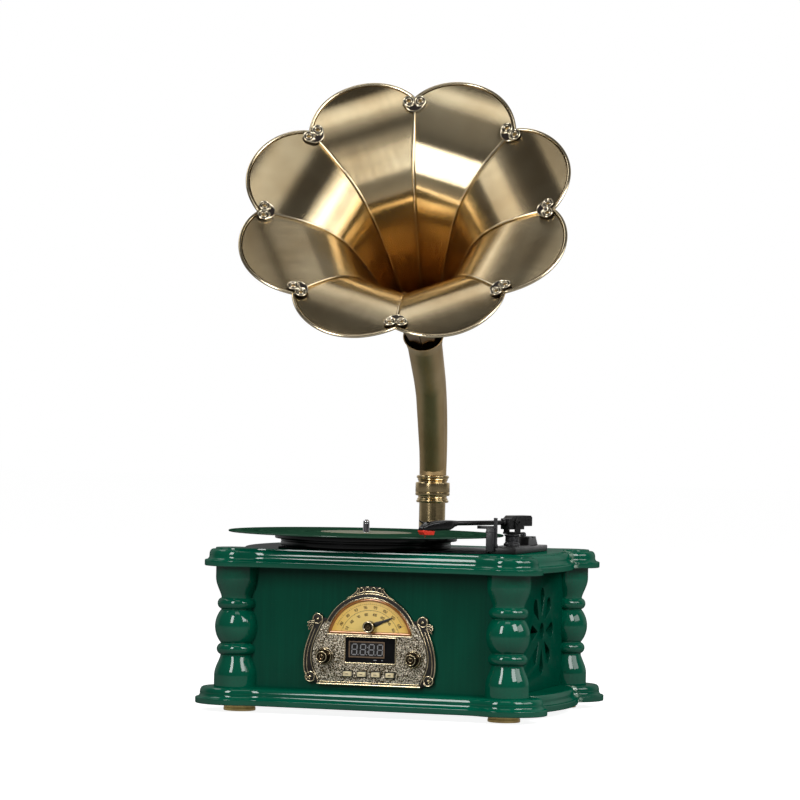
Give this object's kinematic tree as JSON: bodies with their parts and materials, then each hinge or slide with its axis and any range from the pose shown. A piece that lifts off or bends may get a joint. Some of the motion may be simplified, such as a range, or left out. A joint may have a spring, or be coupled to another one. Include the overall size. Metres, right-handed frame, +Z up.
{
  "type": "record player with horn",
  "caption": "Table record player: moulded wooden cabinet with turned corner columns, belt-driven platter, tonearm, radio front plate and a petal horn on a bent pipe",
  "frame": {"origin": "on the floor, under the middle of the whole object's box", "axes": "+Z up, the front with the dial faces -Y, +X to the right seen from the front; metres"},
  "size_m": [0.4154, 0.4406, 0.6882],
  "materials": {
    "green_lacquer": "gloss green lacquer over wood",
    "green_panel": "satin green lacquer over wood with a faint upright grain",
    "foot_brass": "bright brass",
    "screw_steel": "plain steel",
    "speaker_cloth": "black woven cloth",
    "speaker_black": "matt black cone and basket",
    "bronze_plate": "antique bronze with a pebbled ground and bright raised edges",
    "dial_amber": "amber printed dial",
    "pointer_black": "matt black",
    "knob_bronze": "dark antique bronze, bright on its edges",
    "display_glass": "dark tinted window",
    "display_black": "black display body with grey digits",
    "button_brass": "pale polished brass",
    "board_green": "circuit board",
    "control_steel": "plain steel",
    "supply_grey": "grey",
    "jack_black": "black",
    "rubber": "black rubber",
    "bearing_brass": "turned brass",
    "spindle_chrome": "polished chrome",
    "platter_black": "gloss black",
    "record_vinyl": "green-black pressed vinyl with fine grooves",
    "arm_black": "gloss black",
    "arm_tube_black": "gloss black",
    "arm_grey": "dark grey with a fine texture",
    "cartridge_red": "red",
    "brass_brushed": "antique brass brushed along its length",
    "horn_brass": "antique brass, brushed along the petals"
  },
  "bodies": {
    "cabinet": {"base_board": "green_lacquer", "top_board": "green_lacquer", "front_panel": "green_panel", "back_panel": "green_panel", "left_panel": "green_panel", "right_panel": "green_panel", "column_front_left": "green_lacquer", "column_front_right": "green_lacquer", "column_back_left": "green_lacquer", "column_back_right": "green_lacquer", "feet": "foot_brass", "screws": "screw_steel", "speaker_cloths": "speaker_cloth", "left_speaker": "speaker_black", "right_speaker": "speaker_black", "fascia": "bronze_plate", "dial_plate": "dial_amber", "display_window": "display_glass", "display_module": "display_black", "control_board": "board_green", "rotary_controls": "control_steel", "tuning_capacitor": "control_steel", "amplifier_board": "board_green", "power_supply": "supply_grey", "rear_jack_plate": "jack_black", "power_inlet": "jack_black", "drive_motor": "control_steel", "drive_belt": "rubber", "spindle_bearing": "bearing_brass", "arm_base": "arm_black", "arm_rest": "arm_grey", "arm_pivot_post": "arm_grey", "lower_pipe": "brass_brushed", "pipe_collar": "brass_brushed"},
    "turntable": {"spindle": "spindle_chrome", "platter": "platter_black", "platter_mat": "rubber", "record": "record_vinyl"},
    "pulley": {"motor_pulley": "bearing_brass"},
    "arm_carrier": {"arm_yoke": "arm_black"},
    "tonearm": {"arm_rear_block": "arm_black", "arm_tube": "arm_tube_black", "headshell": "arm_black", "cartridge": "cartridge_red"},
    "volume_control": {"volume_knob": "knob_bronze"},
    "mode_control": {"mode_knob": "knob_bronze"},
    "tuner": {"tuning_knob": "knob_bronze", "dial_pointer": "pointer_black"},
    "push_1": {"button_1": "button_brass"},
    "push_2": {"button_2": "button_brass"},
    "push_3": {"button_3": "button_brass"},
    "push_4": {"button_4": "button_brass"},
    "selector": {"speed_selector": "arm_grey"},
    "horn": {"pipe_spigot": "brass_brushed", "elbow_pipe": "brass_brushed", "horn_neck": "horn_brass", "horn_petals": "horn_brass", "horn_rim": "horn_brass", "horn_seams": "horn_brass", "horn_clips": "horn_brass"}
  },
  "joints": [
    {"name": "platter_spin", "type": "hinge", "parent": "cabinet", "child": "turntable", "pos_m": [-0.04404, 0.0122, 0.1919], "axis": [0, 0, 1], "continuous": true},
    {"name": "pulley_spin", "type": "hinge", "parent": "cabinet", "child": "pulley", "pos_m": [-0.02386, 0.08754, 0.182], "axis": [0, 0, 1], "continuous": true},
    {"name": "tonearm_swing", "type": "hinge", "parent": "cabinet", "child": "arm_carrier", "pos_m": [0.11896, 0.0232, 0.197], "axis": [0, 0, -1], "range_deg": [-2, 40]},
    {"name": "tonearm_lift", "type": "hinge", "parent": "arm_carrier", "child": "tonearm", "pos_m": [0.11896, 0.0232, 0.21], "axis": [-0.8988, 0.4384, 0], "range_deg": [0, 18]},
    {"name": "volume_turn", "type": "hinge", "parent": "cabinet", "child": "volume_control", "pos_m": [-0.06104, -0.0723, 0.063], "axis": [0, -1, 0], "range_deg": [-140, 140]},
    {"name": "mode_turn", "type": "hinge", "parent": "cabinet", "child": "mode_control", "pos_m": [0.03896, -0.0723, 0.063], "axis": [0, -1, 0], "range_deg": [-60, 60]},
    {"name": "tuning_turn", "type": "hinge", "parent": "cabinet", "child": "tuner", "pos_m": [-0.01104, -0.0723, 0.0965], "axis": [0, -1, 0], "range_deg": [-22, 140]},
    {"name": "button_1_press", "type": "slide", "parent": "cabinet", "child": "push_1", "axis": [0, 1, 0], "range_m": [0, 0.001], "stiffness_N_per_m": 400},
    {"name": "button_2_press", "type": "slide", "parent": "cabinet", "child": "push_2", "axis": [0, 1, 0], "range_m": [0, 0.001], "stiffness_N_per_m": 400},
    {"name": "button_3_press", "type": "slide", "parent": "cabinet", "child": "push_3", "axis": [0, 1, 0], "range_m": [0, 0.001], "stiffness_N_per_m": 400},
    {"name": "button_4_press", "type": "slide", "parent": "cabinet", "child": "push_4", "axis": [0, 1, 0], "range_m": [0, 0.001], "stiffness_N_per_m": 400},
    {"name": "speed_select", "type": "slide", "parent": "cabinet", "child": "selector", "axis": [0, 1, 0], "range_m": [0, 0.01]},
    {"name": "horn_swivel", "type": "hinge", "parent": "cabinet", "child": "horn", "pos_m": [-0.01854, 0.1792, 0.256], "axis": [0, 0, 1], "range_deg": [-60, 60]}
  ],
  "couplings": [
    {"joint": "pulley_spin", "follows": "platter_spin", "ratio": 11.6}
  ]
}
